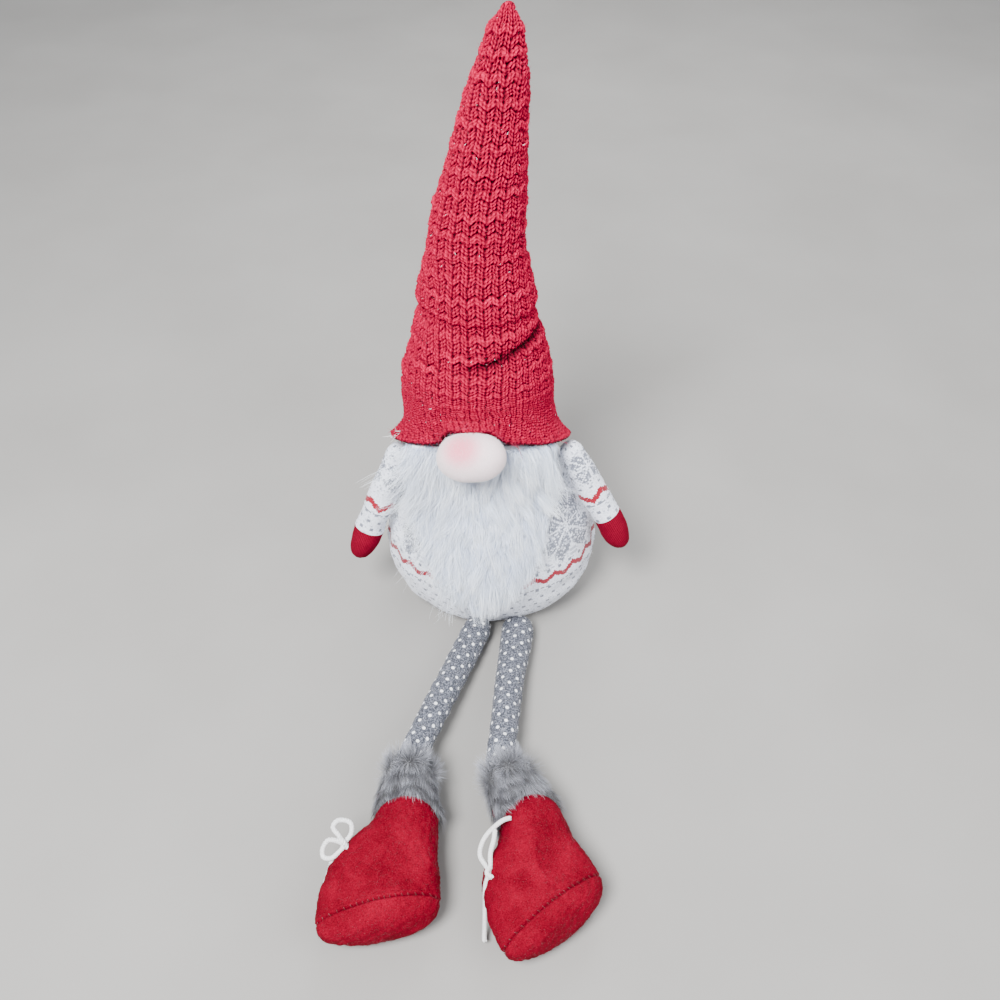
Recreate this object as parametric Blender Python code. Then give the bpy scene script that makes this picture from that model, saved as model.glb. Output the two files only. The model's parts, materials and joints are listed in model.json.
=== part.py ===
"""Seated tomte gnome, a stuffed soft toy with a tall knitted hat, built as its separate sewn pieces.

Metres, +Z up, the gnome faces -Y and its own left is +X. The origin is the middle of its flat seat, on the floor.
Every piece is a stack of closed outlines skinned into one closed body. The arms, the legs, the boots and the top of
the hat turn at the points named below, so each of those pieces has its own origin at its turning point.
"""

import math
from collections import namedtuple

import bmesh
import bpy
from mathutils import Vector

# Driving dimensions of the toy
BODY_HALF_WIDTH = 0.079
BODY_HEIGHT = 0.182
BRIM_HALF_WIDTH = 0.064
HAT_TIP = Vector((0.0113, 0.047, 0.420))
ARM_RADIUS = 0.0102
LEG_RADIUS = 0.0105
BOOT_HALF_THICKNESS = 0.0215
CORD_RADIUS = 0.0016

# Cloth thicknesses and the space left between neighbours
KNIT = 0.0020
JERSEY = 0.0012
FELT = 0.0020
GAP = 0.0004

# Where the moving pieces turn
HAT_PIVOT = Vector((-0.0080, 0.0230, 0.222))
SHOULDER = {"right": Vector((-0.0640, 0.0010, 0.139)), "left": Vector((0.0560, 0.0010, 0.141))}
MITTEN_TIP = {"right": Vector((-0.0985, -0.020, 0.054)), "left": Vector((0.0975, -0.020, 0.066))}
HIP = {"right": Vector((-0.0135, -0.0630, 0.0115)), "left": Vector((0.0176, -0.0630, 0.0115))}
ANKLE = {"right": Vector((-0.0525, -0.170, 0.0222)), "left": Vector((0.0065, -0.174, 0.0222))}
BOOT_TURN = {"right": math.radians(1), "left": math.radians(25)}

SIDES = 20
X, Y, Z = Vector((1, 0, 0)), Vector((0, 1, 0)), Vector((0, 0, 1))

Ring = namedtuple("Ring", "centre across along half_across half_along")


def clear_scene():
    for obj in list(bpy.data.objects):
        bpy.data.objects.remove(obj)


def collection_for(name):
    made = bpy.data.collections.new(name)
    bpy.context.scene.collection.children.link(made)
    return made


def material(name, colour, roughness=0.9):
    made = bpy.data.materials.new(name)
    made.use_nodes = True
    shader = made.node_tree.nodes["Principled BSDF"]
    shader.inputs["Base Color"].default_value = (*colour, 1)
    shader.inputs["Roughness"].default_value = roughness
    return made


COLOURS = {
    "hat_knit": (0.62, 0.02, 0.05),
    "body_knit": (0.78, 0.78, 0.79),
    "mitten_knit": (0.60, 0.02, 0.05),
    "leg_knit": (0.32, 0.33, 0.35),
    "felt": (0.55, 0.01, 0.03),
    "nose_jersey": (0.90, 0.66, 0.64),
    "beard_fur": (0.90, 0.90, 0.89),
    "cuff_fur": (0.42, 0.40, 0.39),
    "cord": (0.88, 0.87, 0.84),
    "stuffing": (0.93, 0.93, 0.92),
    "backing_cloth": (0.80, 0.79, 0.76),
    "ballast": (0.70, 0.66, 0.58),
}


# --- shapes -------------------------------------------------------------------


def points_of(ring, start=0.0, end=2 * math.pi, count=SIDES, closed=True):
    """Points round the oval, from one angle to another."""
    steps = count if closed else count - 1
    turns = [start + (end - start) * i / steps for i in range(count)]
    return [
        ring.centre
        + ring.across * ring.half_across * math.cos(turn)
        + ring.along * ring.half_along * math.sin(turn)
        for turn in turns
    ]


def shrunk(ring, by):
    return ring._replace(half_across=ring.half_across - by, half_along=ring.half_along - by)


def moved_towards(ring, other, share):
    return ring._replace(centre=ring.centre.lerp(other.centre, share))


def add_object(name, mesh, origin, cloth):
    obj = bpy.data.objects.new(name, mesh)
    obj.location = origin
    mesh.materials.append(material(name, COLOURS[cloth]))
    PARTS.objects.link(obj)
    return obj


def skin(name, outlines, cloth, origin=Vector(), joined=False, poked=False):
    """Joins outlines of equal point count one after another. The ends are capped, or joined to each other.

    Poked, each face gets a middle point, so that two such layers with the same bends lie evenly on each other.
    """
    mesh_points = bmesh.new()
    rows = [[mesh_points.verts.new(p - origin) for p in outline] for outline in outlines]
    pairs = list(zip(rows, rows[1:]))
    if joined:
        pairs.append((rows[-1], rows[0]))
    else:
        mesh_points.faces.new(rows[0])
        mesh_points.faces.new(rows[-1])
    sides = []
    for low, high in pairs:
        for i in range(len(low)):
            j = (i + 1) % len(low)
            sides.append(mesh_points.faces.new((low[i], low[j], high[j], high[i])))
    if poked:
        bmesh.ops.poke(mesh_points, faces=sides)
    bmesh.ops.recalc_face_normals(mesh_points, faces=mesh_points.faces)
    mesh = bpy.data.meshes.new(name)
    mesh_points.to_mesh(mesh)
    mesh_points.free()
    return add_object(name, mesh, origin, cloth)


def cover(name, rings, wall, cloth, origin=Vector(), closed_end=False):
    """A cloth tube of one thickness, open at its first ring, and at its last one too unless closed_end."""
    outer = [points_of(r) for r in rings]
    lined = [r for r in rings if min(r.half_across, r.half_along) > 2 * wall]
    inner = [points_of(shrunk(r, wall)) for r in lined]
    if closed_end:
        return skin(name, outer[::-1] + inner, cloth, origin)
    return skin(name, outer + inner[::-1], cloth, origin, joined=True)


def filling(name, rings, wall, cloth, origin=Vector(), spare=GAP):
    """The stuffing inside a cover with these rings and this wall."""
    inside = [shrunk(r, wall + spare) for r in rings if min(r.half_across, r.half_along) > 2.5 * wall]
    inside[0] = moved_towards(inside[0], inside[1], 0.2)
    inside[-1] = moved_towards(inside[-1], inside[-2], 0.2)
    return skin(name, [points_of(r) for r in inside], cloth, origin)


def level_ring(x, y, z, half_x, half_y, tilt_deg=0.0):
    """A ring about the vertical, its front raised by tilt_deg."""
    tilt = math.radians(tilt_deg)
    along = Vector((0, math.cos(tilt), -math.sin(tilt)))
    return Ring(Vector((x, y, z)), X, along, half_x, half_y)


def limb_rings(start, end, profile):
    """Rings along a straight limb. The profile gives the distance along it as a share, and the radius there."""
    direction = (end - start).normalized()
    across = direction.cross(Y if abs(direction.y) < 0.8 else Z).normalized()
    along = direction.cross(across).normalized()
    return [Ring(start.lerp(end, share), across, along, radius, radius) for share, radius in profile]


# --- body ---------------------------------------------------------------------

# height, half width as a share of the widest, front-to-back share of the width, set back
BODY_PROFILE = (
    (0.0024, 0.60, 0.86, 0.003),
    (0.0080, 0.76, 0.82, 0.004),
    (0.0180, 0.88, 0.81, 0.005),
    (0.0320, 0.96, 0.82, 0.006),
    (0.0500, 1.00, 0.83, 0.007),
    (0.0700, 0.97, 0.84, 0.008),
    (0.0900, 0.88, 0.86, 0.009),
    (0.1100, 0.75, 0.88, 0.011),
    (0.1300, 0.60, 0.90, 0.013),
    (0.1500, 0.50, 0.92, 0.015),
    (0.1700, 0.45, 0.93, 0.017),
    (BODY_HEIGHT, 0.36, 0.94, 0.018),
)


def body_ring(height, width, depth, back):
    half = BODY_HALF_WIDTH * width
    return level_ring(0, back, height, half, half * depth)


def body_front_at(x, height):
    """How far forward the body's cloth is at this x and height."""
    low = max(row for row in BODY_PROFILE if row[0] <= height)
    high = min(row for row in BODY_PROFILE if row[0] > height)
    share = (height - low[0]) / (high[0] - low[0])
    width, depth, back = (a + (b - a) * share for a, b in zip(low[1:], high[1:]))
    half = BODY_HALF_WIDTH * width
    reach = min(abs(x) / half, 0.88)
    return back - half * depth * math.sqrt(1 - reach * reach)


def make_body():
    rings = [body_ring(*row) for row in BODY_PROFILE]
    cover("body_cover", rings, KNIT, "body_knit")
    above_ballast = [r for r in rings if r.centre.z > 0.025]
    filling("body_filling", above_ballast, KNIT, "stuffing")
    ballast = [shrunk(r, KNIT + 0.002) for r in rings if 0.007 < r.centre.z < 0.025]
    skin("weight_bag", [points_of(r) for r in ballast], "ballast")
    panel = [level_ring(0, 0.003, height, half, half * 0.86) for height, half in ((0, 0.0455), (0.0016, 0.0465))]
    skin("base_panel", [points_of(r) for r in panel], "body_knit")


# --- hat ----------------------------------------------------------------------

# x, y, z, half width, half depth, how far the front is raised
HAT_LOWER_RINGS = (
    (-0.0065, 0.0135, 0.1505, BRIM_HALF_WIDTH, 0.0585, 30),
    (-0.0067, 0.0150, 0.1600, 0.0575, 0.0535, 28),
    (-0.0072, 0.0170, 0.1730, 0.0530, 0.0500, 24),
    (-0.0080, 0.0190, 0.1900, 0.0512, 0.0485, 18),
    (-0.0085, 0.0212, 0.2060, 0.0482, 0.0460, 11),
)
# height above the pivot, radius
HAT_UPPER_PROFILE = (
    (0.0236, 0.0395),
    (0.0330, 0.0380),
    (0.0480, 0.0340),
    (0.0620, 0.0305),
    (0.0760, 0.0296),
    (0.0900, 0.0286),
    (0.1040, 0.0264),
    (0.1160, 0.0240),
    (0.1290, 0.0222),
    (0.1410, 0.0198),
    (0.1530, 0.0182),
    (0.1640, 0.0158),
    (0.1760, 0.0128),
    (0.1880, 0.0104),
    (0.1970, 0.0062),
    (0.2000, 0.0022),
)
DOME_RADIUS = 0.0432
HAT_LEAN = math.atan2(HAT_TIP.y - HAT_PIVOT.y, HAT_TIP.z - HAT_PIVOT.z)
HAT_SWAY_STARTS = 0.070


def hat_ring(height, radius):
    """A ring round the hat's own axis, which leans back. Its upper part also sways to the gnome's left."""
    axis = Vector((0, math.sin(HAT_LEAN), math.cos(HAT_LEAN)))
    along = Vector((0, math.cos(HAT_LEAN), -math.sin(HAT_LEAN)))
    top = (HAT_TIP - HAT_PIVOT).length
    sway = max(0.0, height - HAT_SWAY_STARTS) / (top - HAT_SWAY_STARTS)
    centre = HAT_PIVOT + axis * height + X * sway * (HAT_TIP.x - HAT_PIVOT.x)
    return Ring(centre, X, along, radius, radius * 0.97)


def dome_rings(radius, degrees):
    """Rings of a sphere about the hat's pivot, at these angles above its equator."""
    angles = [math.radians(d) for d in degrees]
    return [hat_ring(radius * math.sin(a), radius * math.cos(a)) for a in angles]


def make_hat():
    dome = dome_rings(DOME_RADIUS, (0, 15, 30, 45, 60, 75, 87))
    lower = [level_ring(x, y, z, a, b, tilt) for x, y, z, a, b, tilt in HAT_LOWER_RINGS] + dome
    cover("hat_lower_cover", lower, KNIT, "hat_knit", closed_end=True)
    above_neck = [r for r in lower if r.centre.z > 0.187][:-1]
    filling("hat_lower_filling", above_neck, KNIT, "stuffing", spare=0.001)
    upper = [hat_ring(height, radius) for height, radius in HAT_UPPER_PROFILE]
    cover("hat_upper_cover", upper, KNIT, "hat_knit", origin=HAT_PIVOT, closed_end=True)
    hollow = dome_rings(DOME_RADIUS + 0.002, (88, 70, 52, 40))
    wall = [shrunk(r, KNIT + GAP) for r in upper[1:-2]]
    skin("hat_upper_filling", [points_of(r) for r in hollow + wall[1:]], "stuffing", HAT_PIVOT)


# --- nose and beard -----------------------------------------------------------

NOSE_CENTRE = Vector((-0.0115, -0.0535, 0.1856))
NOSE_HALF_WIDTH = 0.0222
NOSE_HALF_HEIGHT = 0.0165
NOSE_HALF_DEPTH = 0.0168


def nose_ring(angle_deg):
    angle = math.radians(angle_deg)
    centre = NOSE_CENTRE + Y * NOSE_HALF_DEPTH * math.sin(angle)
    return Ring(centre, X, Z, NOSE_HALF_WIDTH * math.cos(angle), NOSE_HALF_HEIGHT * math.cos(angle))


def make_nose():
    rings = [nose_ring(a) for a in (62, 40, 20, 0, -20, -40, -60, -80)]
    cover("nose_cover", rings, JERSEY, "nose_jersey", closed_end=True)
    filling("nose_filling", rings, JERSEY, "stuffing")


# height, half width
BEARD_ROWS = (
    (0.0420, 0.0070),
    (0.0520, 0.0180),
    (0.0650, 0.0290),
    (0.0800, 0.0370),
    (0.1000, 0.0440),
    (0.1200, 0.0480),
    (0.1400, 0.0500),
    (0.1560, 0.0490),
    (0.1660, 0.0460),
)
BEARD_MIDDLE = -0.0070
BEARD_THICKNESS = 0.0160
BEARD_SIDE_LIMIT = -0.0165
BEARD_STANDOFF = 0.0022
ACROSS_BEARD = 15


def beard_outline(height, half, near, thickness, swelling):
    """The cross-section at one height of a layer lying in front of the body's cloth."""
    back, front = [], []
    for i in range(ACROSS_BEARD):
        share = 2 * i / (ACROSS_BEARD - 1) - 1
        x = BEARD_MIDDLE + half * share
        cloth = min(body_front_at(x, height), BEARD_SIDE_LIMIT)
        swell = max(0.12, 1 - share * share) if swelling else 1
        back.append(Vector((x, cloth - near, height)))
        front.append(Vector((x, cloth - near - thickness * swell, height)))
    return back + front[::-1]


def make_beard():
    backing = [beard_outline(h, half, BEARD_STANDOFF, JERSEY, False) for h, half in BEARD_ROWS]
    skin("beard_backing", backing, "backing_cloth", poked=True)
    over_backing = BEARD_STANDOFF + JERSEY + GAP
    pile = [beard_outline(h, half, over_backing, BEARD_THICKNESS, True) for h, half in BEARD_ROWS]
    skin("beard_pile", pile, "beard_fur", poked=True)


# --- arms and legs --------------------------------------------------------------


# distance along the limb as a share of its length, radius
SLEEVE_PROFILE = (
    (-0.07, 0.0030),
    (-0.05, 0.0062),
    (0.00, 0.0085),
    (0.15, 0.0096),
    (0.40, ARM_RADIUS),
    (0.74, ARM_RADIUS),
)
MITTEN_PROFILE = (
    (0.752, 0.0101),
    (0.820, 0.0104),
    (0.900, 0.0090),
    (0.960, 0.0062),
    (0.995, 0.0025),
)
LEG_PROFILE = (
    (-0.08, 0.0060),
    (-0.045, 0.0090),
    (0.00, LEG_RADIUS),
    (0.50, 0.0100),
    (0.96, 0.0092),
    (1.02, 0.0088),
    (1.06, 0.0062),
    (1.08, 0.0030),
)


def make_arm(side):
    start, end = SHOULDER[side], MITTEN_TIP[side]
    sleeve = limb_rings(start, end, SLEEVE_PROFILE)
    mitten = limb_rings(start, end, MITTEN_PROFILE)
    cover(side + "_sleeve", sleeve[::-1], JERSEY, "body_knit", start, closed_end=True)
    cover(side + "_mitten", mitten, JERSEY, "mitten_knit", start, closed_end=True)
    filling(side + "_arm_filling", sleeve[1:] + mitten[:-1], JERSEY, "stuffing", start)


def make_leg(side):
    start, end = HIP[side], ANKLE[side]
    rings = limb_rings(start, end, LEG_PROFILE)
    cover(side + "_leg_cover", rings, JERSEY, "leg_knit", start, closed_end=True)
    filling(side + "_leg_filling", rings, JERSEY, "stuffing", start)


# --- boots --------------------------------------------------------------------

# distance from the ankle, front of the boot, back of the boot, half thickness share, tilt of the outline
BOOT_STATIONS = (
    (0.0440, 0.0200, -0.0190, 0.90, 0),
    (0.0520, 0.0240, -0.0192, 0.95, 0),
    (0.0620, 0.0330, -0.0196, 0.99, 2),
    (0.0740, 0.0430, -0.0202, 1.00, 5),
    (0.0860, 0.0490, -0.0215, 1.00, 8),
    (0.0980, 0.0510, -0.0225, 0.98, 11),
    (0.1070, 0.0500, -0.0225, 0.94, 12),
)
SOLE_HALF_LENGTH = 0.0350
SOLE_HALF_WIDTH = 0.0190


def boot_axes(side):
    """Down the shaft, towards the toe, and across the boot, for a boot lying on its side with its toe to the right."""
    turn = BOOT_TURN[side]
    down = Vector((math.sin(turn), -math.cos(turn), 0))
    toe = Vector((-math.cos(turn), -math.sin(turn), 0))
    return down, toe, Z


def boot_ring(side, distance, front, back, thickness, tilt_deg):
    down, toe, across = boot_axes(side)
    tilt = math.radians(tilt_deg)
    lengthways = toe * math.cos(tilt) + down * math.sin(tilt)
    centre = ANKLE[side] + down * distance + toe * (front + back) / 2
    return Ring(centre, lengthways, across, (front - back) / 2, BOOT_HALF_THICKNESS * thickness)


def half_outline(ring, side_sign, wall):
    """The C-shaped cross-section of one side panel, clear of the seam plane by half a gap."""
    lift = ring.along * side_sign * GAP / 2
    start, end = (0, math.pi) if side_sign > 0 else (math.pi, 2 * math.pi)
    outer = points_of(ring, start, end, SIDES // 2 + 1, closed=False)
    inner = points_of(shrunk(ring, wall), start, end, SIDES // 2 + 1, closed=False)
    return [p + lift for p in outer + inner[::-1]]


def make_boot(side):
    origin = ANKLE[side]
    rings = [boot_ring(side, *station) for station in BOOT_STATIONS]
    for name, sign in (("outer", 1), ("inner", -1)):
        outlines = [half_outline(r, sign, FELT) for r in rings]
        skin(f"{side}_boot_{name}_panel", outlines, "felt", origin)
    filling(side + "_boot_filling", rings, FELT, "stuffing", origin)
    down, toe, across = boot_axes(side)
    tilt = math.radians(BOOT_STATIONS[-1][4])
    out = down * math.cos(tilt) - toe * math.sin(tilt)
    last = rings[-1]
    sole = []
    for depth, share in ((GAP, 1.0), (GAP + FELT, 0.97), (GAP + 2.2 * FELT, 0.85), (GAP + 3 * FELT, 0.60)):
        half_length, half_width = SOLE_HALF_LENGTH * share, SOLE_HALF_WIDTH * share
        sole.append(last._replace(centre=last.centre + out * depth, half_across=half_length, half_along=half_width))
    skin(side + "_boot_sole", [points_of(r) for r in sole], "felt", origin)


# distance from the ankle, radius
CUFF_STATIONS = (
    (0.0030, 0.0165),
    (0.0080, 0.0195),
    (0.0200, 0.0212),
    (0.0340, 0.0210),
    (0.0405, 0.0198),
    (0.0430, 0.0185),
)
CUFF_BORE = 0.0138


def make_cuff(side):
    """The fur band sewn round the top of the boot, with the leg's end inside it."""
    outer = [boot_ring(side, d, r, -r, r / BOOT_HALF_THICKNESS, 0) for d, r in CUFF_STATIONS]
    inner = [r._replace(half_across=CUFF_BORE, half_along=CUFF_BORE) for r in reversed(outer)]
    outlines = [points_of(r) for r in outer + inner]
    skin(side + "_fur_cuff", outlines, "cuff_fur", ANKLE[side], joined=True)


# Points the laces pass by: the right one loops up and back, the left one hangs to the floor
LACE_PATHS = {
    "right": (
        (-0.1044, -0.2482, 0.0160),
        (-0.0985, -0.2410, 0.0260),
        (-0.0925, -0.2335, 0.0340),
        (-0.0985, -0.2265, 0.0370),
        (-0.0960, -0.2165, 0.0380),
        (-0.0855, -0.2175, 0.0375),
        (-0.0850, -0.2280, 0.0360),
    ),
    "left": (
        (0.0060, -0.2208, 0.0310),
        (-0.0080, -0.2300, 0.0320),
        (-0.0075, -0.2447, 0.0310),
        (-0.0030, -0.2542, 0.0270),
        (-0.0055, -0.2623, 0.0180),
        (-0.0060, -0.2725, 0.0090),
        (-0.0080, -0.2813, 0.0040),
    ),
}


def make_lace(side):
    """One braided cord along a smooth path at the front of the boot."""
    curve = bpy.data.curves.new(side + "_lace", "CURVE")
    curve.dimensions = "3D"
    curve.resolution_u = 4
    curve.render_resolution_u = 0
    curve.bevel_depth = CORD_RADIUS
    curve.bevel_resolution = 2
    curve.use_fill_caps = True
    spline = curve.splines.new("NURBS")
    path = LACE_PATHS[side]
    spline.points.add(len(path) - 1)
    for point, place in zip(spline.points, path):
        point.co = (*(Vector(place) - ANKLE[side]), 1)
    spline.use_endpoint_u = True
    spline.order_u = 4
    curve.materials.append(material(side + "_lace", COLOURS["cord"]))
    obj = bpy.data.objects.new(side + "_lace", curve)
    obj.location = ANKLE[side]
    PARTS.objects.link(obj)


clear_scene()
PARTS = collection_for("Tomte gnome")
make_body()
make_hat()
make_nose()
make_beard()
for which in ("right", "left"):
    make_arm(which)
    make_leg(which)
    make_boot(which)
    make_cuff(which)
    make_lace(which)
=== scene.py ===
"""Looks for the seated tomte gnome: knitted hat, jacquard body, fur beard, dotted legs and felt boots.

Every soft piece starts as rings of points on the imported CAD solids, is blown up by a short cloth simulation,
and is then refined to a fine grid that carries its own stitches. Fur and fuzz are thin tapered ribbons.
Metres, +Z up. The gnome faces -Y, and +X is its own left.
"""

import json
import math

import bpy
import numpy as np
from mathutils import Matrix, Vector
from mathutils.bvhtree import BVHTree


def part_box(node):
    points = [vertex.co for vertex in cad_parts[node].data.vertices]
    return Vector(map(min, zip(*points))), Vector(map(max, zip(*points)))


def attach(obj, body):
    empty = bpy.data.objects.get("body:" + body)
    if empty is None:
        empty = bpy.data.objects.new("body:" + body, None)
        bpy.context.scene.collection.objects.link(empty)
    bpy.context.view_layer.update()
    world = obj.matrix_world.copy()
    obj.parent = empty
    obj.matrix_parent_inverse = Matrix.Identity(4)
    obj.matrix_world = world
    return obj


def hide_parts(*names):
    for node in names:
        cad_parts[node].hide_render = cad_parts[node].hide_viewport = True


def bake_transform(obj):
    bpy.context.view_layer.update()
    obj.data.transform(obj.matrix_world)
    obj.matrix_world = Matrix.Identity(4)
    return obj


MM = 0.001
X, Y, Z = np.eye(3)
SIDES = ("right", "left")
FLOOR_GAP = 0.4 * MM

# Hat: a waffle knit of wavy ridges and bead columns, plain at its tilted hem
HAT_STITCH = (5.2 * MM, 2.4 * MM)
HEM_STITCH = (4.4 * MM, 2.5 * MM)
WAFFLE_CELL = (10.4 * MM, 12.6 * MM)
WAFFLE_WAVE = 1.7 * MM
STITCH_RELIEF = 1.5 * MM
RIDGE_RELIEF = 1.2 * MM
BRIM_TILT = math.radians(30)
BRIM_HALF_DEPTH = 0.0585
BRIM_PLACE_Y = 0.0135
BRIM_DRAWN_IN = 5.4 * MM
HEM_OVER_NOSE = 14 * MM
CREASE_SHARE = 0.28
LINING_ROWS = 16

# Body and sleeves: a fine jacquard knit. The yarns' numbers pick their colours in its material
BODY_STITCH = (1.45 * MM, 1.15 * MM)
SLEEVE_STITCH = (1.35 * MM, 1.15 * MM)
MITTEN_STITCH = (1.2 * MM, 1.1 * MM)
WHITE, PALE_GREY, GREY, RED = 0.1, 0.35, 0.6, 0.9
WRIST_SHARE = {"right": 0.68, "left": 0.63}

# Nose: pushed back and down from its CAD place, under the hem. Its blush is at these shares of its box
NOSE_TUCK = (0, 6.0 * MM, -6.0 * MM)
BLUSH_SHARE = (0.34, 0.22, 1.0)

# Legs: jersey with printed dots. The left one is wider at its root and sewn on further out
LEG_DOT_PITCH = 10.9 * MM
LEG_DOT_RADIUS = 1.25 * MM
LEG_ROOT_WIDER = {"right": 0.0, "left": 0.13}
LEG_ROOT_SHIFT = {"right": 0.0, "left": 1.6 * MM}

# Boots: distances below the ankle. The cuff's profile is its radius at shares of its length
BOOT_REACH = (0.0445, 0.1066)
SOLE_TILT = math.radians(12)
INSTEP_FULLNESS = 6.0 * MM
CUFF_START = 3 * MM
CUFF_LENGTH = 41 * MM
CUFF_RAISED = 0.20
CUFF_PROFILE = ((0.0, 0.06, 0.3, 0.65, 1.0), (11.2 * MM, 13.2 * MM, 15.2 * MM, 17.4 * MM, 19.6 * MM))

# Strands
BEARD_STRANDS = 15000
BEARD_LOCKS = 320
CUFF_STRANDS = 9000

# Laces, from the ankle: down the boot, towards the toe and up from the boot's middle, in millimetres
CORD_RADIUS = 1.5 * MM
CORD_TWIST = 4.6 * MM
LACE_LINES = {
    "right": (
        (
            (84, 50, -10), (79, 47, -2), (73, 43, 8), (68, 37, 13), (63, 39, 17),
            (58, 43, 19), (54, 40, 20), (55, 33, 19), (61, 32, 17), (66, 36, 15),
        ),
        (
            (67, 34, 13), (65, 41, 16), (65, 46, 16), (69, 49, 13),
            (73, 48, 11), (74, 43, 12), (71, 39, 13), (66, 34, 14),
        ),
        ((70, 33, 12), (67, 36, 18), (64, 38, 16), (65, 35, 11)),
    ),
    "left": (
        ((46, 14, 17), (46, 20, 18), (48, 29, 16), (52, 36, 14), (58, 40, 12), (66, 39, 11), (72, 38, 10)),
        ((70, 40, 10), (74, 44, 6), (80, 47, -2), (86, 50, -9), (92, 53, -15), (95, 54, -16)),
        ((49, 26, 17), (54, 29, 17), (60, 34, 15), (66, 37, 13), (71, 40, 10), (75, 37, 10)),
        ((67, 37, 12), (70, 41, 14), (73, 39, 12), (71, 36, 9)),
    ),
}

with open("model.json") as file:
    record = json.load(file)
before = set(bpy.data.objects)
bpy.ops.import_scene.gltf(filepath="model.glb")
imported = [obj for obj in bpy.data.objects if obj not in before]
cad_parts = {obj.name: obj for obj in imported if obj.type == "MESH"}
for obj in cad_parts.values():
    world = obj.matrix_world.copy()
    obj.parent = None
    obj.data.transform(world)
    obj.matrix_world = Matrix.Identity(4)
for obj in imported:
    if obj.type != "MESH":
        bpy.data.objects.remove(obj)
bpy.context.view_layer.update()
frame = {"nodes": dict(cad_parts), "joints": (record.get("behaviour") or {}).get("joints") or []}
JOINTS = {j["name"]: j for j in frame["joints"]}


# --- points and grids ---


def unit(v):
    v = np.asarray(v, float)
    return v / np.maximum(np.linalg.norm(v, axis=-1, keepdims=True), 1e-12)


def smooth_step(t):
    t = np.clip(t, 0, 1)
    return t * t * (3 - 2 * t)


def bump_at(value, middle, width):
    return np.exp(-(((value - middle) / width) ** 2))


def wobble(points, size, seed):
    """Smooth random values of about -1 to 1 that change over this size."""
    rng = np.random.default_rng(seed)
    total = 0
    for _ in range(7):
        direction = unit(rng.normal(size=3)) * (2 * math.pi / size) * rng.uniform(0.6, 1.4)
        total = total + np.sin(points @ direction + rng.uniform(0, 2 * math.pi))
    return total / 3.0


def joint_point(name):
    return np.array(JOINTS[name]["pos_m"], float)


def tree_of(meshes):
    """A tree for casting rays onto these meshes."""
    points, faces = [], []
    for mesh in meshes:
        first = len(points)
        points += [v.co.copy() for v in mesh.vertices]
        faces += [[first + i for i in p.vertices] for p in mesh.polygons]
    return BVHTree.FromPolygons(points, faces)


def surface_of(*nodes):
    return tree_of([frame["nodes"][node].data for node in nodes])


def wrapped(tree, centres, across, along, sides=48):
    """Rings of points where rays aimed at each centre from outside first meet the tree."""
    reach = 0.15
    turns = 2 * math.pi * np.arange(sides) / sides
    rows = []
    for centre, a, b in zip(centres, across, along):
        ways = np.cos(turns)[:, None] * a + np.sin(turns)[:, None] * b
        hits = [tree.ray_cast(Vector(centre + way * reach), Vector(-way))[3] for way in ways]
        found = [k for k, hit in enumerate(hits) if hit is not None]
        radius = [reach - hits[k] for k in found] if found else [0.5 * MM]
        radius = np.interp(turns, turns[found] if found else [0], radius, period=2 * math.pi)
        rows.append(centre + ways * radius[:, None])
    return np.array(rows)


def resampled(values, places, closed):
    """Values along axis 0 at fractional places, on smooth curves through them."""
    n = len(values)
    first = np.floor(places).astype(int)
    if not closed:
        first = np.minimum(first, n - 2)
    f = (places - first).reshape((-1,) + (1,) * (values.ndim - 1))
    pick = (lambda i: values[i % n]) if closed else (lambda i: values[np.clip(i, 0, n - 1)])
    a, b, c, d = pick(first - 1), pick(first), pick(first + 1), pick(first + 2)
    return b + 0.5 * f * (c - a + f * (2 * a - 5 * b + 4 * c - d + f * (3 * (b - c) + d - a)))


def refined(grid, rows, columns):
    """The same tube with more points, its rows evenly spaced along its length."""
    steps = np.linalg.norm(np.diff(grid, axis=0), axis=2).mean(axis=1)
    length = np.concatenate([[0], np.cumsum(steps)])
    places = np.interp(np.linspace(0, length[-1], rows), length, np.arange(len(length)))
    tall = resampled(grid, places, closed=False)
    turns = np.linspace(0, grid.shape[1], columns, endpoint=False)
    return resampled(tall.swapaxes(0, 1), turns, closed=True).swapaxes(0, 1)


def grid_normals(grid):
    """Unit normals that point out of the tube."""
    down = np.gradient(grid, axis=0)
    round_way = np.roll(grid, -1, axis=1) - np.roll(grid, 1, axis=1)
    normals = unit(np.cross(round_way, down))
    outward = grid - grid.mean(axis=1, keepdims=True)
    return normals * np.sign((normals * outward).sum())


def lengths_on(grid):
    """How far round the tube from column 0 (-half to half) each point is, and how far along, in metres."""
    round_steps = np.linalg.norm(np.roll(grid, -1, axis=1) - grid, axis=2).sum(axis=1)
    columns = grid.shape[1]
    turns = (np.arange(columns) / columns + 0.5) % 1 - 0.5
    along_steps = np.linalg.norm(np.diff(grid, axis=0), axis=2).mean(axis=1)
    along = np.concatenate([[0], np.cumsum(along_steps)])
    return round_steps[:, None] * turns[None], np.repeat(along[:, None], columns, axis=1)


# --- meshes ---


def new_mesh(name, points, faces, material=None):
    mesh = bpy.data.meshes.new(name)
    mesh.from_pydata(np.asarray(points, float).reshape(-1, 3).tolist(), [], [list(f) for f in faces])
    mesh.shade_smooth()
    obj = bpy.data.objects.new(name, mesh)
    bpy.context.scene.collection.objects.link(obj)
    if material:
        mesh.materials.append(material)
    return obj


def set_values(obj, name, values, domain="POINT"):
    layer = obj.data.attributes.new(name, "FLOAT", domain)
    layer.data.foreach_set("value", np.asarray(values, np.float32).ravel())


def grid_faces(rows, columns, first=0):
    r, c = np.meshgrid(np.arange(rows - 1), np.arange(columns), indexing="ij")
    n = (c + 1) % columns
    quads = np.stack([r * columns + c, r * columns + n, (r + 1) * columns + n, (r + 1) * columns + c], -1)
    return (quads.reshape(-1, 4) + first).tolist()


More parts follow.
